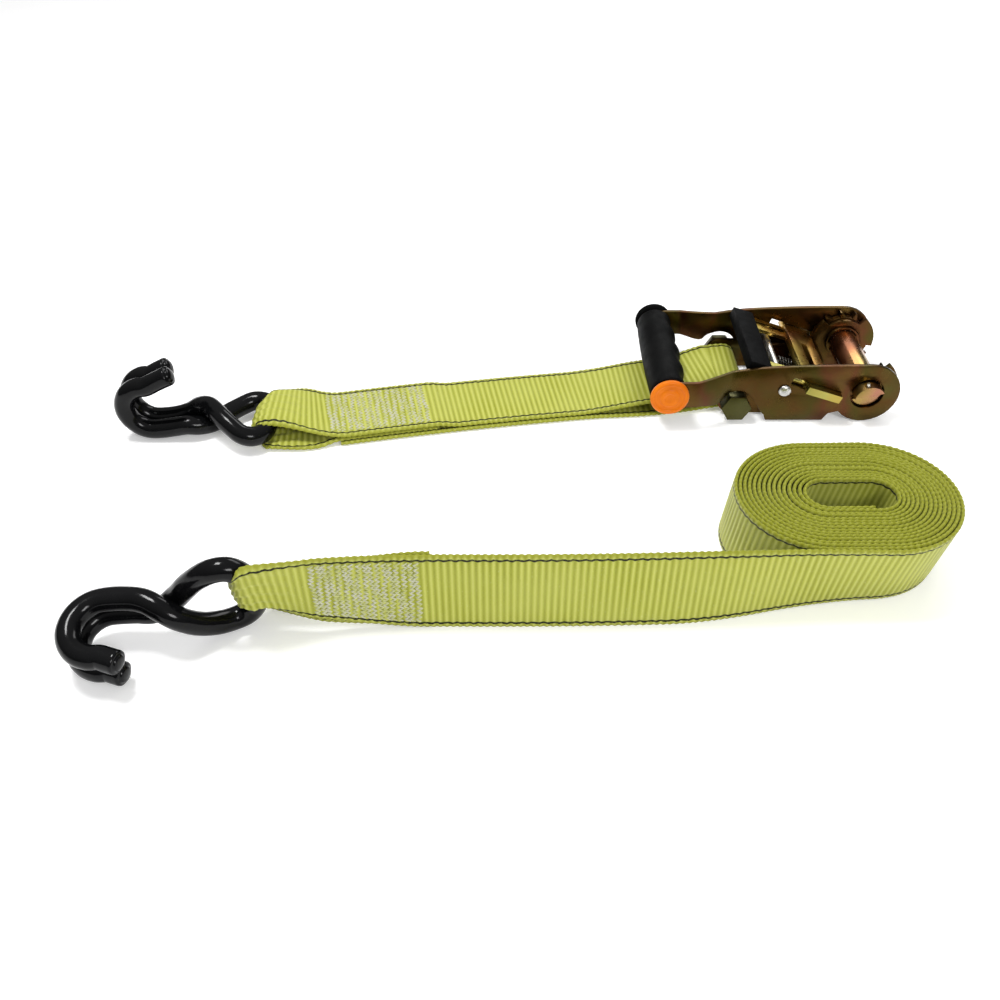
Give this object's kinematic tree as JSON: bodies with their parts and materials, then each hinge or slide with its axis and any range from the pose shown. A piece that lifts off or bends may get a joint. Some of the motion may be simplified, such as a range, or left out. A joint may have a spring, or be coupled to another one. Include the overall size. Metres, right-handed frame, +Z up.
{
  "type": "ratchet tie down",
  "caption": "Ratchet tie down: webbing strap with a ratchet and a coated double J hook, beside a rolled long strap with its own hook.",
  "frame": {"origin": "centre of the set's footprint, on the ground it lies on", "axes": "+X along the straps from the hooks to the ratchet, +Y from the rolled strap to the ratchet strap, +Z up"},
  "size_m": [0.4882, 0.3138, 0.0529],
  "materials": {
    "zinc_steel": "yellow chromate zinc plating, satin, slightly iridescent",
    "bright_zinc": "yellow chromate zinc plating, bright",
    "olive_bolt": "olive chromate plating",
    "bare_steel": "bright zinc plated steel",
    "black_plastic": "moulded, fine grain",
    "orange_plastic": "moulded, semi gloss",
    "black_vinyl": "glossy dipped vinyl",
    "webbing": "ribbed polyester webbing with a dark tracer line near each edge"
  },
  "bodies": {
    "frame": {"frame_channel": "zinc_steel", "strap_bolt": "olive_bolt", "strap_bolt_nut": "olive_bolt", "strap_bolt_sleeve": "bare_steel", "lock_pawl_spring": "bare_steel", "fixed_strap": "webbing"},
    "lock_pawl": {"lock_pawl_plate": "zinc_steel"},
    "mandrel": {"mandrel_half_upper": "bright_zinc", "mandrel_half_lower": "bright_zinc", "ratchet_wheel_near": "zinc_steel", "ratchet_wheel_far": "zinc_steel", "mandrel_pin_near": "bare_steel", "mandrel_pin_far": "bare_steel"},
    "handle": {"handle_plate_near": "zinc_steel", "handle_plate_far": "zinc_steel", "handle_cross_pin": "bare_steel", "grip_sleeve": "black_plastic", "grip_bolt": "bare_steel", "grip_nut": "bare_steel", "grip_cap_near": "orange_plastic", "grip_cap_far": "black_plastic", "drive_pawl_spring": "bare_steel"},
    "drive_pawl": {"drive_pawl_plate": "bright_zinc", "finger_pull": "black_plastic"},
    "hook_a": {"hook_a_coat": "black_vinyl", "hook_a_wire": "bare_steel"},
    "loose_strap": {"loose_strap_lead": "webbing", "loose_strap_coil": "webbing"},
    "hook_b": {"hook_b_coat": "black_vinyl", "hook_b_wire": "bare_steel"}
  },
  "joints": [
    {"name": "mandrel_turn", "type": "hinge", "parent": "frame", "child": "mandrel", "pos_m": [0.22307, 0.10806, 0.021], "axis": [0, 1, 0], "continuous": true},
    {"name": "handle_swing", "type": "hinge", "parent": "frame", "child": "handle", "pos_m": [0.22307, 0.10806, 0.021], "axis": [0, 1, 0], "range_deg": [0, 180]},
    {"name": "lock_pawl_slide", "type": "slide", "parent": "frame", "child": "lock_pawl", "axis": [-0.9397, 0, -0.342], "range_m": [0, 0.006], "stiffness_N_per_m": 400, "springref_m": -0.006, "deforming": ["lock_pawl_spring"]},
    {"name": "drive_pawl_slide", "type": "slide", "parent": "handle", "child": "drive_pawl", "axis": [-0.9472, 0, 0.3206], "range_m": [0, 0.008], "stiffness_N_per_m": 400, "springref_m": -0.006, "deforming": ["drive_pawl_spring"]},
    {"name": "hook_a_swing", "type": "hinge", "parent": "frame", "child": "hook_a", "pos_m": [-0.15253, 0.06036, 0.0092], "axis": [0, 1, 0], "range_deg": [-80, 80]},
    {"name": "loose_strap_slide", "type": "slide", "parent": "frame", "child": "loose_strap", "axis": [0, -1, 0], "range_m": [0, 0.15]},
    {"name": "hook_b_swing", "type": "hinge", "parent": "loose_strap", "child": "hook_b", "pos_m": [-0.13053, -0.10894, 0.0277], "axis": [-0.0501, -0.2513, 0.9666], "range_deg": [-80, 80]}
  ]
}
